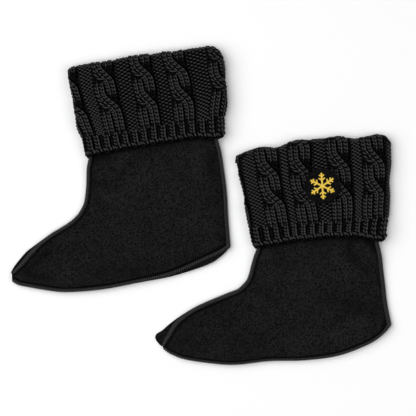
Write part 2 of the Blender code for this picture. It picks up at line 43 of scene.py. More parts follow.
# Where the two liners lie, and their cut, in millimetres
plainLiner = {
    "at": (-51.8, 68.1), "turn": 9, "patch": None,
    "seamWidths": (3.4, 3.5, 3),      # overlocked edge along the front, the back and the sole
    "cuff": {
        "left": ((-2, -78.9), (5, -79.2), (18, -79.9), (33, -83.3), (60, -83.3), (80, -83.8), (104, -84.7)),
        "right": ((-4, 78), (8, 79.9), (20, 81.8), (32, 85.9), (50, 88), (78, 90), (104, 87.5)),
        "hem": ((-79, 0.6), (-50, 2.2), (0, 2.5), (50, 2.2), (80, -2.4)),
        "top": ((-85, 97.5), (-81, 100.5), (-70, 102.8), (-56, 102.6), (-40, 101.6), (-22, 103.6),
                (10, 102.4), (27, 102.2), (38, 100.2), (49, 101.6), (72, 101), (82, 98.5), (88, 93.5)),
        # each near cable: the level of its crossing, and (height, x) along its middle line
        "cables": (
            (53, ((20, -77), (33, -80), (66, -86.5), (104, -87.5))),
            (54, ((20, -41.5), (33, -42.2), (50, -44.3), (70, -45.7), (104, -46))),
            (51.5, ((20, -2.2), (33, -2.2), (68, -2.5), (104, -3.5))),
            (50, ((20, 36.3), (33, 37.6), (65, 37), (104, 34))),
            (56.5, ((20, 75.5), (35, 79.5), (50, 83), (104, 84))),
        ),
        "farCables": 4,
        "purl": ((2.9, 0.05), (2.65, 0), (2.25, 0.05), (3.05, 0.1)),    # wales and slope of the rows
        "ribs": (-69.5, -61, -50, -39.5, -29, -18, -8, 3, 13.5, 24, 35, 46, 57.5, 68),
        "ribWidth": 7.6,
    },
    "rows": (
        # front x, front y, back x, back y, then lift, toe lap and sole lap where they aren't 0
        (-77.5, 0.765, 75.5, 0.765, 4.8),
        (-77, 0.400, 73, 0.400, 4.8),
        (-74, 0.030, 70.4, 0.030, 4.8),
        (-76.4, -4, 69.8, -5.5, 4.7),
        (-80.1, -14.5, 71.2, -19.2, 2.4),
        (-82.6, -27.7, 71.1, -43, 0.5),
        (-85.4, -39.8, 70.1, -66.7),
        (-89.5, -52.2, 67.4, -93.5),
        (-96.1, -61.4, 64.8, -125.9),
        (-100.5, -65.1, 52.8, -130.6, 0, 0, 3.7),
        (-107.9, -70, 34.9, -135.8, 0, 0, 6.2),
        (-119.6, -75.2, -6.4, -146.2, 0, 0, 2.2),
        (-130.5, -79.6, -46.8, -149.1, 0, 0, 0.3),
        (-145.1, -87.5, -85.6, -150.2, 0, 0.9),
        (-152.5, -92.9, -124.8, -146.9, 0, 2.3),
        (-159.4, -98.1, -149.8, -140.1, 0, 3.5),
        (-167.9, -105.9, -165.9, -134.5, 0, 4.1),
        (-175.8, -112.2, -176.4, -130.6, 0, 3.3),
        (-181.6, -117.4, -182.6, -125.4, 0, 1.8),
    ),
    "folds": (
        # from x, from y, to x, to y, half width, rise
        (-54, -7, -66, -23, 7, 2.4),
        (-31, -9, -56, -36, 8, 2),
        (22, -12, 12, -40, 10, 1.2),
    ),
    "shadeLines": (
        # lines of painted shade: from x, from y, to x, to y, half width, and how much darker it is painted
        # there, lighter (painted light) where below 0
        (-23.8, -10.8, -47.8, -30, 3.6, 0.45),
        (-35.8, -8.1, -66.6, -23.6, 3.6, -0.3),
        (-72.2, -31.8, -50, -43.8, 3.2, 0.36),
        (-76.8, -37.9, -49, -55.3, 3.2, -0.22),
        (-74.9, -49.2, -65.3, -60.1, 4.6, 0.3),
        (-68.4, -6.8, -55.3, -5.6, 3.5, 0.4),
        (-34.3, -34.4, -4, -22.2, 12, -0.14),
        (39.4, -16.3, 40.8, -43.5, 6.5, -0.26),
        (59.5, -21.7, 58.2, -40.5, 6.5, 0.5),
        (61.5, -49.7, 56, -111.2, 7, 0.2),
        (-165.2, -116.6, -137.9, -98.4, 5, 0.42),
        (-137.9, -98.4, -106.6, -98.7, 8, 0.2),
        (-161.4, -121.6, -140, -129.8, 4.6, 0.42),
        (-119.9, -127.1, -118.3, -126, 9, -0.26),
        (-86.1, -130.8, -27.4, -135.1, 6.5, 0.3),
        (7.9, -72.3, 23.1, -83.2, 16, -0.1),
    ),
}
patchedLiner = {
    "at": (132.5, -39.5), "turn": 4.5, "patch": (7, 61.2),
    "seamWidths": (3.7, 3.9, 2.3),
    "cuff": {
        "left": ((-2, -74.1), (6, -76.2), (18, -77.9), (40, -80.2), (65, -82), (85, -85.6), (108, -87.8)),
        "right": ((-4, 73.8), (10, 75.9), (24, 80.2), (45, 82.9), (62, 83.6), (80, 87.3), (112, 88.8)),
        "hem": ((-75, 0), (-40, 3.4), (0, 5), (40, 3.6), (76, -3.2)),
        "top": ((-89, 98), (-85, 103.2), (-79, 106), (-70, 108.8), (-56, 110.2), (-41, 108.6), (-30, 112.6),
                (-16, 115), (10, 115.6), (35, 115.4), (47, 112.4), (74, 114.4), (82, 112.4), (88.5, 103)),
        "cables": (
            (53, ((20, -87.5), (35, -88), (60, -92.5), (116, -98))),
            (52, ((20, -45.5), (32, -46.8), (50, -49.5), (68, -51.8), (116, -54.5))),
            (51.5, ((20, -12), (32, -12.8), (68, -16.3), (116, -16.5))),
            (55, ((20, 26), (35, 27.5), (68, 27.3), (116, 26))),
            (56.5, ((20, 61), (35, 61.8), (70, 66), (116, 65))),
            (55, ((20, 99.5), (116, 108.5))),
        ),
        "farCables": 3,
        "purl": ((3.05, 0.14), (1.85, 0.2), (2.7, 0.07), (2.45, 0.08), (2.5, 0.1)),
        "ribs": (-68, -56.5, -45.5, -34.3, -25.5, -16, -6, 4, 13.5, 24, 34.5, 44.5, 53.5, 63),
        "ribWidth": 6.9,
    },
    "rows": (
        (-75.5, 0.765, 72, 0.765, 4.8),
        (-73.5, 0.400, 69.5, 0.400, 4.8),
        (-69, 0.030, 65.6, 0.030, 4.8),
        (-71.6, -3.5, 65, -6, 4.7),
        (-75, -10.9, 67.3, -22.2, 2.6),
        (-78.6, -20.6, 67.8, -37.9, 0.8),
        (-81.6, -29.5, 68.6, -53.7),
        (-85.5, -37.6, 69.2, -74),
        (-92.8, -44.4, 72.1, -99.7),
        (-97.5, -47.2, 62.2, -109.4, 0, 0, 0.5),
        (-106.1, -49.7, 45, -119, 0, 0, 0.8),
        (-121.1, -54.5, 10.8, -129, 0, 0, 0.8),
        (-135.6, -59.3, -28.4, -131.5, 0, 0, 0.3),
        (-147.7, -64.2, -67.5, -129.4),
        (-158, -70.1, -106.3, -130.5, 0, 1),
        (-167.9, -77.2, -137.2, -125.8, 0, 2.2),
        (-173.5, -83.5, -162.2, -119.7, 0, 4.6),
        (-178.4, -91, -173.9, -114.3, 0, 8),
        (-182.9, -97.6, -179.6, -110.9, 0, 11),
        (-185.4, -103.6, -184.5, -106.4, 0, 2.4),
    ),
    "folds": (
        (26, -5, 29, -27, 6, 2.6),
        (43.5, -6, 47, -31, 5, 3),
        (60, -6, 61, -21, 4, 2.2),
    ),
    "shadeLines": (
        # painted shade and painted light along soft lines, as for the plain liner
        (-62.3, -6.7, -61.4, -37.6, 5.5, -0.28),
        (-42.9, -9.6, -41.4, -26.6, 4.5, 0.2),
        (17.5, -8.7, 21.1, -34.3, 6, -0.32),
        (33.1, -5.2, 36, -24.2, 3.4, 0.62),
        (36, -24.2, 49, -37.9, 4, 0.36),
        (45.6, -9.5, 55.9, -21.6, 3, -0.25),
        (53.4, -4.9, 60.5, -16.3, 3.4, 0.6),
        (-71.5, -51.7, -55.5, -62, 6.5, 0.28),
        (0.4, -66.4, 28, -72.8, 5.5, 0.24),
        (28, -72.8, 55, -86.1, 6.5, 0.28),
        (26.3, -93.7, 62.7, -95.2, 8, -0.14),
        (-163.3, -78, -89.8, -72.5, 12, 0.14),
        (-170.8, -100.6, -87.1, -107.2, 16, 0.12),
        (-28.5, -111.8, 53.6, -104.3, 10, -0.12),
    ),
}
liners = {"plain_liner": plainLiner, "patched_liner": patchedLiner}


def smoothStep(t):
    t = np.clip(t, 0.0, 1.0)
    return t * t * (3.0 - 2.0 * t)


def dome(t):
    # height of a half circle over -1 to 1
    return np.sqrt(np.clip(1.0 - t ** 2, 0.0, 1.0))


def throughTable(values, t):
    # value of a table's column at row t, on a smooth curve through its rows
    values = np.asarray(values, float)
    last = len(values) - 1
    i = np.clip(np.floor(t).astype(int), 0, last - 1)
    f = t - i
    a, b, c, d = (values[np.clip(i + k, 0, last)] for k in (-1, 0, 1, 2))
    return b + 0.5 * f * (c - a + f * (2 * a - 5 * b + 4 * c - d + f * (3 * (b - c) + d - a)))


def along(points, x):
    # smooth height over x through a short table of (x, height)
    places = np.array([p[0] for p in points], float)
    x = np.clip(x, places[0], places[-1])
    i = np.clip(np.searchsorted(places, x, side="left") - 1, 0, len(places) - 2)
    f = (x - places[i]) / (places[i + 1] - places[i])
    return throughTable([p[1] for p in points], i + f)


knit = {
    "nearTop": 13.1, "crown": 1.0,      # height of the near side between its cables, and its crown
    "sideBend": 5.5,            # width of the rounded side folds
    "topBend": 4.5,             # how far the top fold is rounded in plan
    "sideTop": 104.0,           # the side outlines go straight on above this
    "slit": 7.2,                # height of the slit where the knit turns in
    "cableReach": 5.85, "cableRise": 4.2, "cableBulge": 0.8, "cableHalf": 7.2,
    "crossingStep": 32.6, "crossingPart": 0.36, "divePart": 0.10,
    "leftOfCable": 11.8, "rightOfCable": 12.8,      # from a cable's middle to the purl beside it
    "ribTop": 19.0, "ribRise": 2.2, "ribPitch": 10.6, "ribFlare": 1.9, "ribHalf": 4.6, "sunkWidth": 3.6,
    "shadedInside": 3.0,             # how deep the knit's inside lies; it is painted near black, as the shade between the stitches
    "row": 4.075, "ribRow": 4.3,            # height of a row: eight from one crossing to the next
}


def roundFrom(cuff, x, height):
    # mm round the tube of a plan x on the near side
    y = np.minimum(height, knit["sideTop"])
    left = along(cuff["left"], y)
    return (x - left) / (along(cuff["right"], y) - left) * cuff["width"] - knit["sideBend"]


def setOutCuff(cuff):
    # sizes round the tube, in mm from the near side's left fold
    cuff["width"] = cuffPoint(cuff, 1.0, 0.5)[0] - cuffPoint(cuff, 0.0, 0.5)[0]
    cuff["flat"] = cuff["width"] - 2 * knit["sideBend"]
    cuff["arc"] = math.pi * math.sqrt(0.5 * (knit["sideBend"] ** 2 + (0.5 * knit["nearTop"]) ** 2))
    cuff["round"] = 2 * (cuff["flat"] + cuff["arc"])
    cuff["count"] = len(cuff["cables"]) + cuff["farCables"]
    ribs = [float(roundFrom(cuff, x, 10.0)) for x in cuff["ribs"]]
    gap = cuff["round"] + ribs[0] - ribs[-1]
    more = int(round(gap / knit["ribPitch"])) - 1
    cuff["allRibs"] = ribs + [ribs[-1] + gap * (k + 1) / (more + 1) for k in range(more)]


def cableMiddle(cuff, k, height):
    # mm round the tube of cable k's middle line, and the level of its crossing
    whole, k = divmod(k, cuff["count"])
    near = cuff["cables"]
    start, end = (roundFrom(cuff, along(near[j][1], height), height) for j in (min(k, len(near) - 1), 0))
    # the far cables are spread evenly from the last near one back round to the first
    share = max(0, k - len(near) + 1) / (cuff["farCables"] + 1)
    place = start + (end + cuff["round"] - start) * share
    return place + whole * cuff["round"], near[k if k < len(near) else 0][0]


def cuffPoint(cuff, u, v):
    # plan place: u from the left fold to the right one, v from the hem to the top
    y = 100.0 * v
    for _ in range(3):
        left = along(cuff["left"], y)
        x = left + (along(cuff["right"], y) - left) * u
        hem = along(cuff["hem"], x)
        y = hem + (along(cuff["top"], x) - hem) * v
    return x, y


def cuffShare(cuff, x, v):
    # the u that brings cuffPoint to this x
    u = 0.5
    for _ in range(4):
        left = along(cuff["left"], 100.0 * v)
        u = u + (x - cuffPoint(cuff, u, v)[0]) / (along(cuff["right"], 100.0 * v) - left)
    return u


def onCuff(cuff, x, v):
    # plan place at this x, v from the hem to the top
    return cuffPoint(cuff, cuffShare(cuff, x, v), v)


def roundTube(cuff, around, values):
    # a value that goes evenly from corner to corner of the tube: near left, near right, far right, far left
    flat, arc = cuff["flat"], cuff["arc"]
    return np.interp(np.mod(around, cuff["round"]), (0.0, flat, flat + arc, 2 * flat + arc, cuff["round"]),
                     (*values, values[0]))


def crownTop(u):
    # height of the near side's plain surface
    return knit["nearTop"] + knit["crown"] * np.sin(math.pi * u)


def onTube(cuff, around, height, proud):
    # a place on the cuff, mm round it, mm up from the hem's level and mm outside its plain surface, and
    # the direction that faces out there
    bend = knit["sideBend"]
    low = bend / cuff["width"]
    turn = roundTube(cuff, around, (0.0, 0.0, 1.0, 1.0))
    u = roundTube(cuff, around, (low, 1.0 - low, 1.0 - low, low))
    side = np.where((turn > 0.0) & (turn < 1.0), np.where(u > 0.5, 1.0, -1.0), 0.0)
    angle = math.pi * (0.5 - turn)
    y = np.asarray(height, float) + 0.0 * turn
    level = np.minimum(y, knit["sideTop"])
    left = along(cuff["left"], level)
    x = left + (along(cuff["right"], level) - left) * u + side * (bend + proud) * np.cos(angle)
    half = 0.5 * crownTop(u)
    z = half + (half + proud) * np.sin(angle)
    # over the top fold
    start = along(cuff["top"], x) - knit["topBend"]
    past = np.maximum(y - start, 0.0)
    bendLength = 0.5 * math.pi * np.sqrt(0.5 * (knit["topBend"] ** 2 + half ** 2))
    phi = 0.5 * math.pi * past / bendLength
    reach = np.where(past > 0, start + (knit["topBend"] - 0.5 + proud) * np.sin(phi), y)
    tuck = np.where(past > 0, knit["slit"] + (z - knit["slit"]) * np.cos(phi), z)
    out = np.stack([side * np.cos(angle) * np.cos(phi), np.sin(phi), np.sin(angle) * np.cos(phi)], -1)
    return np.stack([x, reach, tuck], -1), out


def nearness(cuff, around):
    # 1 over the near side, falling round the side folds to 0 underneath
    return 1.0 - smoothStep(1.15 * roundTube(cuff, around, (0.0, 0.0, 1.0, 1.0)))


def partSine(t):
    return np.sin(0.5 * math.pi * np.clip(t, 0.0, 1.0))


def strandAt(turns, which):
    # distance of a cable's strand from the cable's middle, and its rise; turns counts the crossings
    turns = np.maximum(turns, -0.55)
    whole = np.floor(turns)
    step = turns - whole
    side = np.where(np.mod(whole + which, 2) < 0.5, 1.0, -1.0)
    share = np.where(side > 0, step, 1.0 - step)
    swing = partSine((1.0 - share) / knit["crossingPart"]) * partSine(share / knit["divePart"])
    offset = side * knit["cableReach"] * swing
    offset = offset + np.where(side > 0, knit["cableBulge"] * np.sin(math.pi * step) * swing, 0.0)
    rise = knit["cableRise"] * (0.1 + 0.9 * smoothStep(share * 1.7)) - 4.5 * (1.0 - smoothStep(share / 0.12))
    # how much a strand that goes over still holds its outer stitches at the left
    held = np.where(side < 0, smoothStep((share - 0.6) / 0.3), smoothStep((share - 0.9) / 0.1))
    return offset, rise, held


def intoPlace(liner, points):
    # liner's own millimetres to metres in the shared frame
    turn = math.radians(liner["turn"])
    x = liner["at"][0] + points[..., 0] * math.cos(turn) - points[..., 1] * math.sin(turn)
    y = liner["at"][1] + points[..., 0] * math.sin(turn) + points[..., 1] * math.cos(turn)
    return np.stack([x, y, points[..., 2]], -1) * mm


def meshPiece(name, points, faces, cornerUv, material):
    # faces is a list of index arrays, each with faces of one size; cornerUv matches their corners in order
    mesh = bpy.data.meshes.new(name)
    mesh.vertices.add(len(points))
    mesh.vertices.foreach_set("co", points.astype(np.float32).ravel())
    corners = np.concatenate([f.ravel() for f in faces]).astype(np.int32)
    sizes = np.concatenate([np.full(len(f), f.shape[1]) for f in faces])
    mesh.loops.add(len(corners))
    mesh.loops.foreach_set("vertex_index", corners)
    mesh.polygons.add(len(sizes))
    mesh.polygons.foreach_set("loop_start", (np.cumsum(sizes) - sizes).astype(np.int32))
    mesh.update(calc_edges=True)
    mesh.validate()
    layer = mesh.uv_layers.new(name="along")
    layer.data.foreach_set("uv", cornerUv.astype(np.float32).ravel())
    mesh.shade_smooth()
    mesh.materials.append(material)
    piece = bpy.data.objects.new(name, mesh)
    bpy.context.collection.objects.link(piece)
    return piece


def cells(grid):
    # the four corners of each cell of a grid of (sheets or threads, rows, columns)
    return np.stack([grid[:, :-1, :-1], grid[:, :-1, 1:], grid[:, 1:, 1:], grid[:, 1:, :-1]], 3)


def unit(vectors):
    return vectors / np.maximum(np.linalg.norm(vectors, axis=-1, keepdims=True), 1e-9)


def pointValues(piece, name, values):
    layer = piece.data.attributes.new(name, "FLOAT", "POINT")
    layer.data.foreach_set("value", (np.zeros(len(piece.data.vertices)) + values).astype(np.float32))


def tubes(name, liner, batches, sides, material):
    # one mesh of many threads, their paths all of one length in a batch of (paths, directions that face
    # out, radius, how far to the front each point lies, lowered where more painted shade is wanted); "outer"
    # is painted shade and highlight: 1 where a thread faces out and lies at the front, near 0 on its sides
    # and where it goes behind
    points, quads, caps, quadUv, outer = [], [], [], [], []
    angles = 2 * math.pi * np.arange(sides) / sides
    face = smoothStep((np.sin(angles) - 0.1) / 0.8)
    base = 0
    for paths, out, radius, front in batches:
        count, steps = paths.shape[:2]
        ahead = unit(np.gradient(paths, axis=1))
        across = unit(np.cross(ahead, out))
        up = np.cross(across, ahead)
        ring = across[:, :, None] * np.cos(angles)[:, None] + up[:, :, None] * np.sin(angles)[:, None]
        points.append(intoPlace(liner, paths[:, :, None] + radius * ring).reshape(-1, 3))
        # painted shade and highlight: lighter on the side of each thread that faces out and on its front
        # parts, darker on its sides and where it goes behind
        lit = 0.06 + 0.94 * smoothStep((np.broadcast_to(front, (count, steps)) + 0.25) / 0.95)
        outer.append((face * lit[..., None]).ravel())
        index = base + np.arange(count * steps * sides).reshape(count, steps, sides)
        base += index.size
        caps.append(np.concatenate([index[:, 0], index[:, -1, ::-1]]))
        quads.append(cells(np.concatenate([index, index[:, :, :1]], 2)).reshape(-1, 4)[:, ::-1])
        length = np.cumsum(np.linalg.norm(np.diff(paths, axis=1, prepend=paths[:, :1]), axis=2), axis=1)
        uv = np.stack(np.broadcast_arrays(length[:, :, None], np.arange(sides + 1) / sides), -1)
        quadUv.append(cells(uv).reshape(-1, 4, 2)[:, ::-1].reshape(-1, 2))
    caps = np.concatenate(caps)
    piece = meshPiece(name, np.concatenate(points), [np.concatenate(quads), caps],
                      np.concatenate(quadUv + [np.zeros((caps.size, 2))]), material)
    pointValues(piece, "outer", np.concatenate(outer))
    return piece


def sheetPiece(name, liner, grid, material, closed=False):
    # a single-layer sheet through a grid of points; its UVs are the grid's own millimetres
    rows, columns = grid.shape[:2]
    index = np.arange(rows * columns).reshape(1, rows, columns)
    if closed:
        index = np.concatenate([index, index[:, :, :1]], 2)
    quads = cells(index).reshape(-1, 4)
    uv = grid[..., :2].reshape(-1, 2)[quads.ravel()]
    return meshPiece(name, intoPlace(liner, grid).reshape(-1, 3), [quads], uv, material)


def clothPiece(name, liner, points, material, paintedShade, wall):
    # a shell of cloth under a grid of points, with painted shade: the given value is how much darker it is
    # painted there
    piece = sheetPiece(name, liner, points[:, ::-1], material)
    pointValues(piece, "paintedShade", paintedShade)
    bpy.ops.object.select_all(action="DESELECT")
    piece.select_set(True)
    bpy.context.view_layer.objects.active = piece
    bpy.ops.object.modifier_add(type="SOLIDIFY")
    shell = piece.modifiers[-1]
    shell.thickness = wall * mm
    shell.offset = -1.0
    shell.use_even_offset = False
    bpy.ops.object.modifier_apply(modifier=shell.name)
    return piece


def newMaterial(name):
    material = bpy.data.materials.new(name)
    material.use_nodes = True
    return material, material.node_tree, material.node_tree.nodes["Principled BSDF"]


def fillNode(tree, node, inputs):
    # gives a node's inputs values, or links them to other nodes' outputs
    for key, value in inputs.items():
        if isinstance(value, bpy.types.NodeSocket):
            tree.links.new(value, node.inputs[key])
        else:
            node.inputs[key].default_value = value


def addNode(tree, kind, output, inputs=None, **settings):
    # adds a shader node and returns one of its outputs
    node = tree.nodes.new("ShaderNode" + kind)
    for key, value in settings.items():
        setattr(node, key, value)
    fillNode(tree, node, inputs or {})
    return node.outputs[output]


def addMath(tree, operation, *values):
    return addNode(tree, "Math", 0, dict(enumerate(values)), operation=operation)


def addRamp(tree, share, low, dark, high, light):
    # dark up to share low, light from share high
    colour = addNode(tree, "ValToRGB", "Color", {"Fac": share})
    for stop, place, value in zip(colour.node.color_ramp.elements, (low, high), (dark, light)):
        stop.position = place
        stop.color = (*value, 1.0)
    return colour


def addBump(tree, height, strength, distance):
    return addNode(tree, "Bump", "Normal", {"Height": height, "Strength": strength, "Distance": distance})


def addScale(tree, colour, amount):
    return addNode(tree, "VectorMath", "Vector", {0: colour, "Scale": amount}, operation="SCALE")


yarnLook = {
    # the thread's colour runs from dark, its painted shade where it turns in, to light, its painted highlight
    # where it faces out
    "dark": (0.0004, 0.0004, 0.0004), "light": (0.0380, 0.0380, 0.0382),
    "from": 0.44, "to": 1.0,          # how far out the thread's painted highlight starts and stops getting lighter
    "roughness": 0.45, "specular": 0.06, "plyPerMm": 0.55, "plies": 3, "plyDepth": 0.25,
}


def yarnMaterial(name, look):
    material, tree, shader = newMaterial(name)
    place = addNode(tree, "TexCoord", "Object")
    run = addNode(tree, "SeparateXYZ", "X", {"Vector": addNode(tree, "UVMap", "UV", uv_map="along")})
    plies = addMath(tree, "MULTIPLY", run, look["plyPerMm"])
    turns = addMath(tree, "MULTIPLY_ADD", run.node.outputs["Y"], look["plies"], plies)
    wave = addMath(tree, "SINE", addMath(tree, "MULTIPLY", turns, 2 * math.pi))
    fluff = addNode(tree, "TexNoise", "Fac", {"Vector": place, "Scale": 900.0, "Detail": 3.0})
    # painted shade and highlight: the thread is darker where it turns in towards the others and lighter where
    # it faces out, and its dye is a little uneven
    outer = addNode(tree, "Attribute", "Fac", attribute_name="outer")
    dye = addNode(tree, "TexNoise", "Fac", {"Vector": place, "Scale": 350.0, "Detail": 3.0})
    share = addMath(tree, "ADD", outer, addMath(tree, "MULTIPLY_ADD", dye, 0.3, -0.15))
    fillNode(tree, shader, {
        "Base Color": addRamp(tree, share, look["from"], look["dark"], look["to"], look["light"]),
        "Normal": addBump(tree, addMath(tree, "ADD", wave, fluff), look["plyDepth"], 0.0003),
        "Roughness": look["roughness"], "Specular IOR Level": look["specular"]})
    return material


fleeceLook = {
    "dark": (0.0001, 0.0001, 0.0001), "light": (0.0133, 0.0133, 0.0134),
    "roughness": 0.95, "sheen": 0.02, "napScale": 1150.0, "napDepth": 0.5, "cloudScale": 24.0, "cloud": 0.35,
}


def fleeceMaterial(name, look):
    material, tree, shader = newMaterial(name)
    place = addNode(tree, "TexCoord", "Object")
    # tufts of nap, each a little lighter or darker than the next, with fuzzy outlines
    scale = look["napScale"]
    fuzz = addNode(tree, "TexNoise", "Color", {"Vector": place, "Scale": 2.2 * scale, "Detail": 1.0})
    spot = addNode(tree, "VectorMath", "Vector", {0: fuzz, 1: (0.0016, 0.0016, 0.0016), 2: place},
                   operation="MULTIPLY_ADD")
    tuft = addNode(tree, "TexVoronoi", "Color", {"Vector": spot, "Scale": scale})
    colour = addRamp(tree, tuft, 0.3, look["dark"], 0.7, look["light"])
    # the nap lies this way and that; painted shade darkens the cloth in its creases, beside its seams and
    # under the cuff, and painted light brightens it in places
    lie = addNode(tree, "TexNoise", "Fac", {"Vector": place, "Scale": look["cloudScale"], "Detail": 2.0})
    bright = addMath(tree, "MULTIPLY_ADD", lie, 2.0 * look["cloud"], 1.0 - look["cloud"])
    paintedShade = addNode(tree, "Attribute", "Fac", attribute_name="paintedShade")
    amount = addMath(tree, "MULTIPLY", bright, addMath(tree, "SUBTRACT", 1.0, paintedShade))
    fillNode(tree, shader, {
        "Base Color": addScale(tree, colour, amount),
        "Normal": addBump(tree, fuzz.node.outputs["Fac"], look["napDepth"], 0.0004),
        "Roughness": look["roughness"], "Specular IOR Level": 0.05,
        "Sheen Weight": look["sheen"], "Sheen Roughness": 0.6})
    return material


def threadMaterial(name, colour, roughness, sheen, shaded=0.0):
    material, tree, shader = newMaterial(name)
    uv = addNode(tree, "UVMap", "UV", uv_map="along")
    twist = addNode(tree, "TexWave", "Fac", {"Vector": uv, "Scale": 1.6, "Distortion": 0.5})
    mixed = addRamp(tree, twist, 0.0, [0.7 * c for c in colour], 1.0, [min(1.0, 1.25 * c) for c in colour])
    # painted shade: darker where the thread turns in or away, by the share shaded
    outer = addNode(tree, "Attribute", "Fac", attribute_name="outer")
    amount = addMath(tree, "MULTIPLY_ADD", outer, shaded, 1.0 - shaded)
    fillNode(tree, shader, {
        "Base Color": addScale(tree, mixed, amount), "Normal": addBump(tree, twist, 0.3, 0.0001),
        "Roughness": roughness, "Sheen Weight": sheen})
    return material


stitch = {
    # corners round the yarn, and points along one knit stitch, one purl head and one sunk stitch
    "near": {"sides": 6, "knit": 16, "purl": 8, "sunk": 8},
    "under": {"sides": 5, "knit": 8, "purl": 6, "sunk": 6},
    "cableYarn": 1.14, "groundYarn": 1.04, "ribYarn": 1.28, "hemYarn": 1.15,     # radii
    "close": 0.05, "swing": 0.21,                 # how far a loop's legs lean over, in stitch widths
    "loop": 0.86,                                 # half the height of a loop, in rows
    "depth": 1.00, "groundDepth": 0.2,            # how far the yarn goes in and out
    "purlLong": 1.45,                             # half the length of a purl loop's head
    "skew": 0.42, "ribSkew": 0.567,               # the yarn's twist turns each loop this much
    "tuck": 0.30, "ribTuck": 0.22,                # stitches at each end that go in behind the next ones
    "tuckDepth": 1.6,
    "uneven": 0.30,                               # how far rows and wales wander
    "topRelief": 0.15,                            # share of a cable's height left at the top fold
}


def heightsOfRows(cuff, crossing):
    # levels of the body's rows, from the top of the ribs to over the top fold
    row = knit["row"]
    first = math.ceil((knit["ribTop"] + 0.2 - crossing) / row - 0.5)
    top = max(p[1] for p in cuff["top"]) + 4.0
    last = math.floor((top - crossing) / row - 0.5)
    return crossing + (np.arange(first, last + 1) + 0.5) * row


def patchMask(liner, spots):
    if liner["patch"] is None:
        return np.zeros(spots.shape[:-1])
    away = np.hypot(spots[..., 0] - liner["patch"][0], spots[..., 1] - liner["patch"][1])
    near = spots[..., 2] > knit["slit"]
    return np.where(near, 1.0 - smoothStep((away - patchLook["radius"] - 1.0) / 5.0), 0.0)


def layYarn(liner, around, height, sink, relief, radius, front):
    # puts threads on the cuff: sink is their depth below its plain surface, relief the form under them, and
    # front their painted shade, from how far to the front they lie
    cuff = liner["cuff"]
    wander = stitch["uneven"]
    around = around + wander * np.sin(height / 7.3 + 0.9 * np.sin(around / 19.0))
    height = height + wander * np.sin(around / 6.1 + 1.3 * np.sin(height / 23.0))
    spots, _ = onTube(cuff, around, height, 0.0)
    mask = patchMask(liner, spots)
    relief = relief + (np.minimum(relief, 0.6) - relief) * mask       # pressed flat under the patch
    fromTop = along(cuff["top"], spots[..., 0]) - spots[..., 1]
    relief = relief * (stitch["topRelief"] + (1.0 - stitch["topRelief"]) * smoothStep(fromTop / 7.0))
    near = nearness(cuff, around)
    proud = np.maximum(sink + relief * near ** 2, -4.0)
    proud = np.where(near < 0.3, np.minimum(proud, -radius), proud)   # flat underneath
    spots, out = onTube(cuff, around, height, proud)
    spots[..., 2] = np.maximum(spots[..., 2], radius + 0.15)          # above the floor
    steps = around.shape[-1]
    front = np.broadcast_to(front, around.shape).reshape(-1, steps)
    return spots.reshape(-1, steps, 3), out.reshape(-1, steps, 3), radius, front


def loopCourse(wales, ends, steps, row):
    # one course of loops from end to end: place in wales from its middle, -1 on a loop's left leg and 1 on
    # its right one, height above the row's middle, -1 to 1 from back to front, and how far it is tucked in
    t = np.linspace(-ends, wales + ends, int(steps * (wales + 2 * ends)) + 1)
    phase = 2 * math.pi * (t - 0.5)
    place = t + stitch["swing"] * np.sin(2 * phase) - 0.5 * wales
    up = stitch["loop"] * row * np.cos(phase)
    front = 2.0 * (0.5 - 0.5 * np.cos(2 * phase)) ** 3.6 - 1.0
    return place, np.sin(phase), up, front, np.maximum(np.maximum(-t, t - wales), 0.0) / ends


def cableRows(liner, k, steps):
    # the two wales of each strand of cable k, row by row
    cuff = liner["cuff"]
    place, side, up, front, over = loopCourse(2, stitch["tuck"], steps, knit["row"])
    across = (place - stitch["close"] * side) * knit["cableReach"] - stitch["skew"] * up
    sink = -stitch["cableYarn"] - 0.5 + stitch["depth"] * front - stitch["tuckDepth"] * over
    crossing = cableMiddle(cuff, k, 50.0)[1]
    level = heightsOfRows(cuff, crossing)[:, None, None] + up
    middle, _ = cableMiddle(cuff, k, level)
    strand = np.array([0, 1])[None, :, None]
    turns = (level - crossing) / knit["crossingStep"]
    offset, rise, held = strandAt(turns, strand)
    ahead = strandAt(turns + 0.02, strand)[0] - strandAt(turns - 0.02, strand)[0]
    lean = np.clip(ahead / (0.04 * knit["crossingStep"]), -1.0, 1.0)
    # a leaning strand is narrower, but its left stitches stay out at the cable's edge
    wide = across / (1.0 + lean ** 2) ** 0.65
    outer = smoothStep((-across - 1.0) / 4.5) * held
    reach = -knit["cableReach"] - offset
    wide = wide + 0.75 * outer * np.minimum(reach + (across - wide), 0.0)
    form = rise * dome(across / knit["cableHalf"])
    level = level - np.clip(wide, -4.5, 6.0) * lean * (1.0 - 0.6 * outer)
    form = form * (0.5 + 0.5 * smoothStep((level - knit["ribTop"]) / 10.0))
    # painted shade: the low parts of a cable, such as the strand that goes under at a crossing, are darker,
    # tucked ends darker still, and the right legs a little lighter, a painted highlight
    low = 1.0 - smoothStep((form - 0.4) / 3.0)
    return layYarn(liner, middle + offset + wide, level, sink, form, stitch["cableYarn"],
                   front + 0.15 * side - 2.0 * over - 0.9 * low)


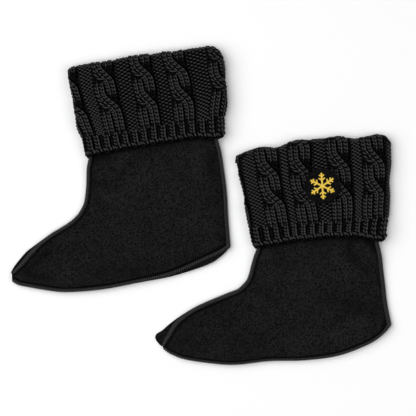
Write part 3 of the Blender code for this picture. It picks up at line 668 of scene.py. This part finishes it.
def groundRows(liner, k, steps):
    # the purl between cable k and the next: the heads and feet of its loops, in brick order
    cuff, row = liner["cuff"], knit["row"]
    wales, slope = cuff["purl"][k] if k < len(cuff["purl"]) else (3.0, 0.1)
    columns = int(round(2 * wales))
    place = ((np.arange(columns) + 0.5) / columns)[None, :, None]
    t = np.linspace(-1.0, 1.0, steps)
    rows = heightsOfRows(cuff, cableMiddle(cuff, k, 50.0)[1])[:, None, None]
    level = rows + 0.5 * row * (np.arange(columns) % 2)[None, :, None] - 0.25 * row
    left = cableMiddle(cuff, k, level)[0] + knit["rightOfCable"]
    right = cableMiddle(cuff, k + 1, level)[0] - knit["leftOfCable"]
    around = left + (right - left) * place + stitch["purlLong"] * t
    level = level + (place - 0.5) * (right - left) * slope - 0.25 * stitch["purlLong"] * (t ** 2 - 0.3)
    shade = 1.0 - smoothStep((around - left) / 4.5)       # the purl dips beside a cable's right edge, and is painted in shade there
    sink = -stitch["groundYarn"] - stitch["groundDepth"] - 2.3 * np.abs(t) ** 3 - 1.1 * shade
    # painted shade at the ends of each head, where the yarn goes in
    return layYarn(liner, around, level, sink, 0.0, stitch["groundYarn"],
                   1.0 - 2.0 * np.abs(t) ** 3 - 0.9 * shade)


def ribLift(cuff, around, level):
    # the hem's own curve, fading out by the top of the ribs
    hem = along(cuff["hem"], np.clip(around - 0.5 * cuff["flat"], -75, 75))
    return hem * (1.0 - smoothStep(level / knit["ribTop"])) * nearness(cuff, around)


def ribRows(liner, places, steps, raised):
    # the ribbed hem: single wales of knit stitches, or the sunk purl wales between them; places are
    # the right-hand edges of the knit wales
    cuff, row = liner["cuff"], knit["ribRow"]
    place, side, up, front, over = loopCourse(1, stitch["ribTuck"], steps, row)
    width, deep = (cuff["ribWidth"], 0.5) if raised else (knit["sunkWidth"], 0.9)
    across = (place - 0.03 * side) * width - stitch["ribSkew"] * up
    sink = -stitch["ribYarn"] - deep + stitch["depth"] * front - stitch["tuckDepth"] * over
    form = (knit["ribRise"] if raised else 0.0) * dome(across / knit["ribHalf"])
    middle = np.array(places)[:, None, None] + (1.0 - 0.5 * cuff["ribWidth"] if raised else 2.7)
    level = (np.arange(int(knit["ribTop"] / row) + 1)[None, :, None] + 0.45) * row + up
    sink = sink - 2.4 * smoothStep((level - knit["ribTop"] + 0.5) / 2.5)
    flare = knit["ribFlare"] * smoothStep(1.0 - level / 7.0) * np.where(across > 0, 1.0, -0.1)
    around = middle + across + (flare if raised else 0.0)
    # painted shade on the tucked ends and on the sunk wales; the right legs are a little lighter, a painted
    # highlight
    return layYarn(liner, around, level + ribLift(cuff, around, level), sink, form, stitch["ribYarn"],
                   front + (0.3 * side if raised else -0.5) - 2.0 * over)


def hemChain(liner, places):
    # the cast-off edge: a thick rounded end under each leg of a rib
    cuff = liner["cuff"]
    t = np.linspace(-1.0, 1.0, 8)
    legs = np.array([0.2 - cuff["ribWidth"], 0.6])[:, None]
    around = np.array(places)[:, None, None] + legs + 0.8 * t
    level = 2.3 - 1.2 * t
    # painted shade where each rounded end turns in
    return layYarn(liner, around, level + ribLift(cuff, around, level), 0.3 - 2.2 * t ** 4, 0.0,
                   stitch["hemYarn"], 1.0 - 1.2 * t ** 4)


def shadedInside(liner, name, material):
    # the knit's inside, seen only between the stitches and painted near black: painted shade in the gaps
    cuff = liner["cuff"]
    around = np.linspace(0.0, cuff["round"], 181)[:-1]
    levels = [*np.linspace(3.0, 86.0, 30), *np.linspace(89.0, 108.0, 16)]
    if liner["patch"]:                      # this cuff is taller
        levels += [110.0, 112.0, 114.0, 116.0]
    grid = np.array([onTube(cuff, around, level, -knit["shadedInside"])[0] for level in levels])
    return sheetPiece(name, liner, grid, material, closed=True)


def makeCuff(name, liner, yarn, inside):
    cuff = liner["cuff"]
    setOutCuff(cuff)
    count, nearOnes, ribs = cuff["count"], len(cuff["cables"]), cuff["allRibs"]
    shown = len(cuff["ribs"]) + 1
    ground = shadedInside(liner, name + "_backing", inside)
    parts = []
    for side, label, cables, gaps, places in (
            ("near", "", range(nearOnes), [count - 1, *range(nearOnes)],
             [ribs[-1] - cuff["round"]] + ribs[:shown]),
            ("under", "_under", range(nearOnes, count), range(nearOnes, count - 1), ribs[shown:-1])):
        fine = stitch[side]
        for kind, batches in (
                ("_cables", [cableRows(liner, k, fine["knit"]) for k in cables]),
                ("_purl", [groundRows(liner, k, fine["purl"]) for k in gaps]),
                ("_ribs", [ribRows(liner, places, fine["knit"], True),
                           ribRows(liner, places, fine["sunk"], False), hemChain(liner, places)])):
            parts.append(tubes(name + label + kind, liner, batches, fine["sides"], yarn))
    for part in [ground] + parts:
        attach(part, "root")
    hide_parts(name)
    return ground, parts


seam = {"pitch": 2.3, "width": 3.9, "thread": 0.7, "steps": 9, "sides": 5}
cloth = {
    "gap": 0.3, "thick": 2.2, "lip": 2.1, "groove": 0.9,
    "soleFold": 2.6, "soleDepth": 28.0, "soleFade": 12.0, "crown": 1.2,
    "lipMiddle": 2.0, "lipHalf": 2.6, "lipEnd": 4.3, "grooveAt": 5.8,       # how far in from the edge
    "nearWall": 1.3, "farWall": 1.4, "soleWall": 0.8, "hiddenShade": 0.3,
    "hiddenRows": 3, "heelRow": 8, "fullWidth": 120.0,
    "insets": (0.0, 0.35, 0.9, 1.7, 2.6, 3.3, 3.9, 4.4, 4.9, 5.6, 6.6, 8.0, 10.5, 14.0, 18.0, 23.0,
               28.0, 34.0, 41.0, 48.0, 56.0),
    "rowStep": 0.2,
}


def sections(liner, t):
    # front ends, back ends, lifts, toe laps and sole laps of the panel at table rows t
    cuff, last = liner["cuff"], cloth["hiddenRows"] - 1
    t = np.atleast_1d(np.asarray(t, float))
    table = np.array([row + (0.0,) * (7 - len(row)) for row in liner["rows"]])
    # the hidden rows give their y as a share of the cuff's height
    under = [throughTable(table[:last + 1, k], np.clip(t, 0.0, last)) for k in range(7)]
    shown = table[last:].copy()
    for end in (0, 2):
        under[end:end + 2] = onCuff(cuff, under[end], under[end + 1])
        shown[0, end:end + 2] = onCuff(cuff, shown[0, end], shown[0, end + 1])
    # the front edge is one curve, the back one turns a corner at the heel
    past = np.maximum(t - last, 0.0)
    heel = cloth["heelRow"] - last
    leg = [throughTable(shown[:heel + 1, k], np.minimum(past, heel)) for k in range(7)]
    foot = [throughTable(shown[:, k], past) if k < 2 else
            throughTable(shown[heel:, k], np.maximum(past - heel, 0.0)) for k in range(7)]
    values = np.where(t < last, under, np.where(past <= heel, leg, foot))
    return values[:2].T, values[2:4].T, *np.maximum(values[4:], 0.0)


def soleThickness(liner, t):
    heel = smoothStep((t - cloth["heelRow"] + 0.75) / 1.6)
    toe = smoothStep((len(liner["rows"]) - 1.2 - t) / 2.2)
    return cloth["soleFold"] * heel * toe


def underNear(lift, sole):
    # height of what the near panel lies on: the far panel, and the folded sole where there is one
    return lift + cloth["thick"] + cloth["gap"] + sole + np.where(sole > 0.05, cloth["gap"], sole)


def edgeProfile(inset):
    # thickness near an overlocked edge: a rounded lip, a groove, then the plain cloth
    lip = cloth["lip"] * dome((inset - cloth["lipMiddle"]) / cloth["lipHalf"]) + 0.2
    plain = cloth["groove"] + (cloth["thick"] - cloth["groove"]) * smoothStep((inset - cloth["lipEnd"]) / 2.4)
    return np.where(inset < cloth["lipEnd"], np.maximum(lip, cloth["groove"] * smoothStep(inset)), plain)


def outward(liner, t, end):
    # unit vectors out of the panel at its front (0) or back (1) ends
    last = len(liner["rows"]) - 1.0
    run = sections(liner, np.minimum(t + 0.25, last))[end] - sections(liner, np.maximum(t - 0.25, 0.0))[end]
    return unit(run)[:, ::-1] * ((1.0, -1.0) if end == 0 else (-1.0, 1.0))


def softLines(lines, x, y, fade):
    # sum of soft ridges along straight lines, each fading by a share towards its far end
    total = 0.0 * x
    for fromX, fromY, toX, toY, halfWidth, amount in lines:
        runX, runY = toX - fromX, toY - fromY
        share = np.clip(((x - fromX) * runX + (y - fromY) * runY) / (runX ** 2 + runY ** 2), 0.0, 1.0)
        off = np.hypot(x - fromX - runX * share, y - fromY - runY * share)
        total = total + amount * np.exp(-(off / halfWidth) ** 2) * (1.0 - fade * share)
    return total


def panelGrid(liner, t, insets):
    # plan points of the sections at table rows t, with their distance in from the nearer edge
    front, back, lift, toeLap, soleLap = sections(liner, t)
    length = np.hypot(*(back - front).T)[:, None]
    tight = np.minimum(1.0, length / cloth["fullWidth"])
    insets = np.array(insets) + 0.0 * length
    shares = insets * tight / length
    shares = np.concatenate([shares, 0.5 + 0.0 * length, 1.0 - shares[:, ::-1]], 1)
    deep = np.concatenate([insets, 999.0 + 0.0 * length, insets[:, ::-1]], 1)
    x, y = front.T[..., None] + (back - front).T[..., None] * shares
    # under the cuff the sections follow the cuff's own rows
    hidden = cloth["hiddenRows"] - 1
    v = throughTable([r[1] for r in liner["rows"][:hidden + 1]], np.minimum(t, hidden))[:, None]
    under = onCuff(liner["cuff"], x, v)[1]
    bow = under - (under[:, :1] + (under[:, -1:] - under[:, :1]) * shares)
    y = y + bow * np.clip(hidden + 1.0 - t, 0.0, 1.0)[:, None]
    return {"x": x, "y": y, "shares": shares, "deep": deep, "tight": tight, "lift": lift[:, None],
            "toeLap": toeLap[:, None], "soleLap": soleLap[:, None]}


def rowPlaces(liner):
    last = len(liner["rows"]) - 1.0
    return np.linspace(0.0, last, int(round(last / cloth["rowStep"])) + 1)


def seamWidth(liner, end, t):
    front, back, sole = liner["seamWidths"]
    if end == 0:
        return front * (1.0 - 0.5 * smoothStep((t - len(liner["rows"]) + 3.2) / 2.2))
    return back + (sole - back) * smoothStep(t - cloth["heelRow"])


def fromEdge(liner, end, x, y):
    # distance of plan points from the near panel's front (0) or back (1) edge
    edge = sections(liner, np.arange(cloth["hiddenRows"] - 1.0, len(liner["rows"]) - 0.99, 0.04))[end]
    away = np.hypot(x.reshape(-1, 1) - edge[:, 0], y.reshape(-1, 1) - edge[:, 1])
    return away.min(axis=1).reshape(x.shape)


def nearPanel(liner, name, material):
    t = rowPlaces(liner)
    grid = panelGrid(liner, t, cloth["insets"])
    x, y, shares = grid["x"], grid["y"], grid["shares"]
    # measured in seam widths of the usual size
    fromFront, fromSole = (fromEdge(liner, end, x, y) * seam["width"] / seamWidth(liner, end, t)[:, None]
                           for end in (0, 1))
    deep = np.minimum(fromFront, fromSole)
    sole = soleThickness(liner, t)[:, None]
    shown = smoothStep((t - cloth["hiddenRows"] + 0.5) / 2.5)[:, None] * grid["tight"]
    fromBack = np.where(shares < 0.5, 999.0, grid["deep"])
    under = sole * (1.0 - smoothStep((fromBack - cloth["soleDepth"]) / cloth["soleFade"]))
    z = underNear(grid["lift"], under) + cloth["crown"] * shown * np.sin(math.pi * shares) ** 2
    z = z + softLines(liner["folds"], x, y, 0.6) * shown + edgeProfile(deep)
    points = np.stack([x, y, z], -1)
    for point in points.reshape(-1, 3):
        point[2] += 0.25 * noise.noise(Vector((point[0] / 38.0, point[1] / 30.0, 3.7)))
    # painted shade: darker in the groove beside the overlocked edge, just below the cuff (a painted shadow)
    # and in the creases, with painted light in places; the lip is a little lighter
    onSole = smoothStep(t - cloth["heelRow"] + 0.7)[:, None]
    heel = onSole * (1.0 - smoothStep((t - cloth["heelRow"] - 2.0) / 3.0))[:, None]
    groove = 0.75 * np.exp(-((fromFront - cloth["grooveAt"]) / 1.4) ** 4) + 0.16 * np.exp(-deep / 14.0)
    dark = np.exp(-((fromSole - cloth["grooveAt"]) / (1.5 + 1.2 * heel)) ** 4)
    groove = groove + (0.1 + 0.82 * onSole) * dark
    low = np.maximum(along(liner["cuff"]["hem"], x) - y, 0.0)
    cuffShadow = 0.75 * np.exp(-(low / 5.5) ** 2) + 0.2 * np.exp(-low / 12.0)
    paintedShade = np.where(deep < cloth["lipEnd"], -0.2, groove) + cuffShadow
    paintedShade = paintedShade + softLines(liner["shadeLines"], x, y, 0.0)
    paintedShade = np.clip(paintedShade, -0.6, 0.97)[:, ::-1].ravel()
    return clothPiece(name, liner, points, material, paintedShade, cloth["nearWall"])


def farPanel(liner, name, material):
    t = rowPlaces(liner)
    grid = panelGrid(liner, t, (0.0, 0.5, 1.2, 3.0, 8.0, 20.0, 41.0))
    x, y = grid["x"], grid["y"]
    # it shows past the near panel at the toe and along the sole
    for end, reach in ((0, grid["toeLap"]), (1, np.maximum(0.0, grid["soleLap"] - 1.5))):
        out = outward(liner, t, end) * reach
        for column, share in ((0, 1.0), (1, 0.85), (2, 0.5)):
            x[:, -1 - column if end else column] += out[:, 0] * share
            y[:, -1 - column if end else column] += out[:, 1] * share
    z = grid["lift"] + cloth["thick"] - 0.8 * np.clip(1.0 - grid["deep"], 0.0, 1.0) ** 2
    return clothPiece(name, liner, np.stack([x, y, z], -1), material, cloth["hiddenShade"], cloth["farWall"])


def solePanel(liner, name, material):
    # the sole, folded in half: its fold shows past the near panel's edge
    t = rowPlaces(liner)
    sole = soleThickness(liner, t)
    keep = (t >= cloth["heelRow"]) & (sole >= 0.7)
    t, sole = t[keep], sole[keep]
    front, back, _, _, soleLap = sections(liner, t)
    length = np.hypot(*(back - front).T)
    tight = np.minimum(1.0, length / cloth["fullWidth"])
    out = outward(liner, t, 1)
    rows = []
    lower = ((cloth["soleDepth"], 0.0), (14.0, 0.0), (4.0, 0.0), (1.2, 0.02), (0.4, 0.12), (0.0, 0.32))
    for inset, rise in (*lower, *((inset, 1.0 - rise) for inset, rise in lower[::-1])):
        spot = front + (back - front) * (1.0 - inset * tight / length)[:, None]
        spot = spot + out * ((soleLap - 0.8) * (1.0 - smoothStep(inset / 8.0)))[:, None]
        rows.append(np.column_stack([spot, cloth["thick"] + cloth["gap"] + sole * rise]))
    return clothPiece(name, liner, np.array(rows).transpose(1, 0, 2), material, cloth["hiddenShade"],
                      cloth["soleWall"])


def edgeLine(liner, end):
    # cross threads along one edge of the near panel, evenly spaced: their places, which way the edge runs,
    # how high the cloth under them lies, and how wide the seam is
    t = np.arange(2.2, len(liner["rows"]) - 1.0, 0.02)
    lines = sections(liner, t)
    sole = soleThickness(liner, t) if end else 0.0 * t
    rest = underNear(lines[2], sole)
    edge = lines[end]
    run = np.concatenate([[0.0], np.cumsum(np.hypot(*np.diff(edge, axis=0).T))])
    at = (np.arange(int(run[-1] / seam["pitch"])) + 0.5) * seam["pitch"]
    spot = np.stack([np.interp(at, run, edge[:, 0]), np.interp(at, run, edge[:, 1])], -1)
    ahead = unit(np.gradient(spot, axis=0))
    return spot, ahead, np.interp(at, run, rest), np.interp(at, run, seamWidth(liner, end, t))


def overlock(liner, name, material):
    # cross threads over the near panel's edges
    batches = []
    t = np.linspace(0.0, 1.0, seam["steps"])
    inset = seam["width"] * (1.0 - t) - 0.35 * t
    drop = np.interp(t, [0.0, 0.06, 0.85, 1.0], [-0.6, 0.1, 0.0, -0.9])
    height = np.maximum(edgeProfile(np.maximum(inset, 0.25)), 0.6) + 0.15 + drop
    slant = (t - 0.5) * seam["pitch"] * 0.55
    for end, shown in ((0, 1.0), (1, 0.35)):       # painted shade: the thread is darker along the back and the sole
        spot, ahead, rest, width = edgeLine(liner, end)
        inward = ahead[:, None, ::-1] * ((-1.0, 1.0) if end == 0 else (1.0, -1.0))
        reach = inset * width[:, None] / seam["width"]
        plan = spot[:, None] + ahead[:, None] * slant[:, None] + inward * reach[..., None]
        path = np.concatenate([plan, (rest[:, None] + height)[..., None]], 2)
        outs = np.concatenate([-inward * (t[:, None] - 0.2), 0.0 * reach[..., None] + 1.0], 2)
        # painted shade: darker where the thread wraps round and under the edge
        batches.append((path, outs, seam["thread"], shown - smoothStep((t - 0.55) / 0.35)))
    return tubes(name, liner, batches, seam["sides"], material)


patchLook = {
    "radius": 20.0, "thick": 1.6, "seat": 1.3, "gold": (0.80, 0.56, 0.06),
    "arm": 15.0, "armWidth": 2.0, "branchWidth": 1.5, "branchTurn": 55.0,
    "branches": ((6.5, 4.6), (10.6, 3.6)),      # how far out along the arm each pair starts, and its length
    "pitch": 0.42, "thread": 0.24,
}


def patchSeat(liner, x):
    # height of the knit that the patch is sewn on
    return crownTop(0.5 + x / liner["cuff"]["width"]) + patchLook["seat"]


def makePatch(liner, name, felt):
    radius = patchLook["radius"] * mm
    bpy.ops.object.select_all(action="DESELECT")
    bpy.ops.mesh.primitive_circle_add(vertices=64, radius=radius, fill_type="NGON")
    piece = bpy.context.object
    bpy.ops.object.mode_set(mode="EDIT")
    bpy.ops.mesh.select_all(action="SELECT")
    for _ in range(5):
        bpy.ops.mesh.inset(thickness=radius / 7.0)
    bpy.ops.mesh.select_all(action="SELECT")
    bpy.ops.mesh.extrude_region_move(TRANSFORM_OT_translate={"value": (0, 0, patchLook["thick"] * mm)})
    bpy.ops.mesh.select_all(action="SELECT")
    bpy.ops.mesh.normals_make_consistent(inside=False)
    bpy.ops.object.mode_set(mode="OBJECT")
    bpy.ops.object.modifier_add(type="BEVEL")
    piece.modifiers[-1].width = 0.5 * mm
    piece.modifiers[-1].segments = 3
    bpy.ops.object.modifier_apply(modifier=piece.modifiers[-1].name)
    piece.name = name
    piece.data.name = name
    for vertex in piece.data.vertices:
        x, y, z = np.array(vertex.co) / mm + (*liner["patch"], 0.0)
        vertex.co = intoPlace(liner, np.array([x, y, z + patchSeat(liner, x)]))
    piece.data.materials.append(felt)
    piece.data.shade_smooth()
    return piece


def embroidery(liner, name, material):
    # a six-armed snow star in satin stitch
    bars = []
    for arm in range(6):
        angle = math.pi * (arm / 3 + 0.5)
        bars.append((0.0, 0.0, angle, patchLook["arm"], patchLook["armWidth"]))
        for reach, length in patchLook["branches"]:
            for side in (-1, 1):
                branch = angle + side * math.radians(patchLook["branchTurn"])
                bars.append((math.cos(angle) * reach, math.sin(angle) * reach, branch, length,
                             patchLook["branchWidth"]))
    paths = []
    t = np.linspace(-1.0, 1.0, 7)
    for startX, startY, angle, length, width in bars:
        for k in range(int(length / patchLook["pitch"])):
            at = (k + 0.5) * patchLook["pitch"] + 0.12 * t
            x = liner["patch"][0] + startX + math.cos(angle) * at - math.sin(angle) * t * width / 2
            y = liner["patch"][1] + startY + math.sin(angle) * at + math.cos(angle) * t * width / 2
            bulge = 0.55 * np.sqrt(np.clip(1.02 - t ** 2, 0, 1)) - 0.05
            paths.append(np.stack([x, y, patchSeat(liner, x) + patchLook["thick"] + bulge], -1))
    paths = np.array(paths)
    outs = np.zeros_like(paths) + (0.0, 0.0, 1.0)
    return tubes(name, liner, [(paths, outs, patchLook["thread"], 1.0)], 5, material)


print("materials")
yarn = yarnMaterial("black yarn", yarnLook)
# the knit's inside: painted shade, far darker than the yarn
inside = fleeceMaterial("inside of the knit", {**fleeceLook, "dark": (0.0004, 0.0004, 0.0004),
                                               "light": (0.0012, 0.0012, 0.0012), "sheen": 0.0})
fleece = fleeceMaterial("black fleece", fleeceLook)
seamThread = threadMaterial("seam thread", (0.0300, 0.0300, 0.0305), 0.6, 0.0, 0.8)
felt = fleeceMaterial("black felt", {**fleeceLook, "light": (0.0050, 0.0050, 0.0051), "napScale": 1200.0})
goldThread = threadMaterial("gold thread", patchLook["gold"], 0.4, 0.1)

for name, liner in liners.items():
    print(name, "cuff")
    ground, stitches = makeCuff(name + "_cuff", liner, yarn, inside)
    print(name, "fleece")
    nearSide = nearPanel(liner, name + "_fleece_near", fleece)
    farSide = farPanel(liner, name + "_fleece_far", fleece)
    sole = solePanel(liner, name + "_fleece_sole", fleece)
    threads = overlock(liner, name + "_overlock", seamThread)
    for piece, node in ((nearSide, "near_side"), (farSide, "far_side"), (sole, "sole")):
        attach(piece, "root")
        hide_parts(name + "_" + node)
    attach(threads, "root")
    if liner["patch"]:
        print(name, "patch")
        badge = makePatch(liner, name + "_felt_patch", felt)
        star = embroidery(liner, name + "_snow_star", goldThread)
        for piece in (badge, star):
            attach(piece, "root")
        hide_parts(name + "_patch")

print("floor, lights and camera")
studio = {
    "middle": (7.0, -2.5, 6.0),     # mm, what the camera looks straight down at
    "frame": 465.9,                 # mm across the picture
    "distance": 3000.0,
    "lamps": (((-2.0, 0.4, 3.2), 4.6, 200.0), ((1.5, -0.5, 2.2), 1.8, 23.0)),   # place, size and watts
    "room": 0.12,
}


def makeStudio():
    bpy.ops.object.select_all(action="DESELECT")
    bpy.ops.mesh.primitive_plane_add(size=6.0, location=(0, 0, -0.0002))
    floor = bpy.context.object
    floor.name = "floor"
    material, tree, shader = newMaterial("white paper")
    fillNode(tree, shader, {"Base Color": (0.876, 0.877, 0.880, 1.0), "Roughness": 0.9,
                            "Specular IOR Level": 0.1})
    floor.data.materials.append(material)
    for at, size, power in studio["lamps"]:
        bpy.ops.object.light_add(type="AREA", location=at)
        lamp = bpy.context.object
        lamp.data.size = size
        lamp.data.energy = power
        lamp.rotation_euler = (-Vector(at)).to_track_quat("-Z", "Y").to_euler()
    world = bpy.data.worlds.new("soft room")
    bpy.context.scene.world = world
    world.use_nodes = True
    fillNode(world.node_tree, world.node_tree.nodes["Background"],
             {"Color": (1.0, 1.0, 1.0, 1.0), "Strength": studio["room"]})
    middle = Vector(studio["middle"]) * mm
    away = studio["distance"] * mm
    bpy.ops.object.camera_add(location=middle + Vector((0, 0, away)), rotation=(0, 0, 0))
    camera = bpy.context.object
    camera.data.sensor_width = 36.0
    camera.data.lens = camera.data.sensor_width * away / (studio["frame"] * mm)
    camera.data.clip_end = 20.0
    bpy.context.scene.camera = camera
    bpy.context.scene.view_settings.view_transform = "Standard"


makeStudio()
